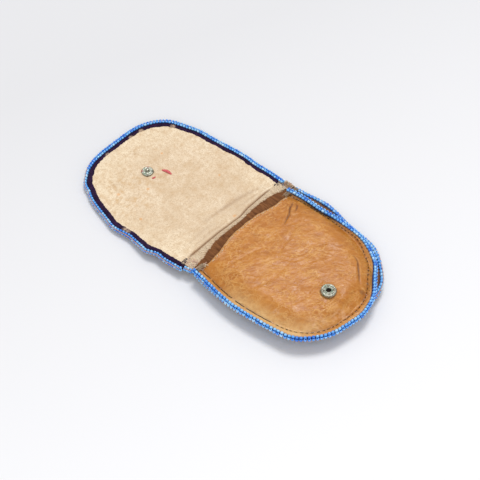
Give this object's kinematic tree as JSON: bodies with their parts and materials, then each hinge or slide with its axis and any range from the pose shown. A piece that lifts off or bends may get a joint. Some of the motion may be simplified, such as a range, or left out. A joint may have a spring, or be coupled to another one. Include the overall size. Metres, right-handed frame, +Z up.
{
  "type": "beaded belt pouch",
  "caption": "Flat leather belt pouch with bead-edged pocket, a lined flap that folds over it and closes with a snap, and belt loops behind.",
  "frame": {"origin": "under the middle of the pouch lying open, on the surface that it lies on", "axes": "+Z up, +X across the mouth, +Y towards the tip of the open flap"},
  "size_m": [0.09, 0.1834, 0.0161],
  "materials": {
    "front_leather": "worn tan leather, lightly creased",
    "back_leather": "plain brown leather",
    "cream_hide": "matt cream hide, soft side out",
    "dark_cloth": "dark purple woven cloth",
    "blue_beads": "opaque glossy blue glass beads",
    "snap_metal": "tarnished, dull grey-green",
    "sinew_thread": "twisted sewing thread"
  },
  "bodies": {
    "pocket": {"back_panel": "back_leather", "front_panel": "front_leather", "back_bead_edging": "blue_beads", "front_bead_edging": "blue_beads", "snap_socket": "snap_metal", "belt_loop_left": "back_leather", "belt_loop_right": "back_leather", "corner_lashing_left": "sinew_thread", "corner_lashing_right": "sinew_thread"},
    "strip": {"hinge_strip": "cream_hide"},
    "flap": {"flap_lining": "cream_hide", "flap_cover": "dark_cloth", "flap_bead_edging": "blue_beads", "snap_stud": "snap_metal"}
  },
  "joints": [
    {"name": "strip_fold", "type": "hinge", "parent": "pocket", "child": "strip", "pos_m": [0, -0.0075, 0.0071], "axis": [1, 0, 0], "range_deg": [0, 90]},
    {"name": "flap_fold", "type": "hinge", "parent": "strip", "child": "flap", "pos_m": [0, -0.00196, 0.0071], "axis": [1, 0, 0], "range_deg": [0, 90]}
  ],
  "couplings": [
    {"joint": "flap_fold", "follows": "strip_fold", "ratio": 1}
  ]
}
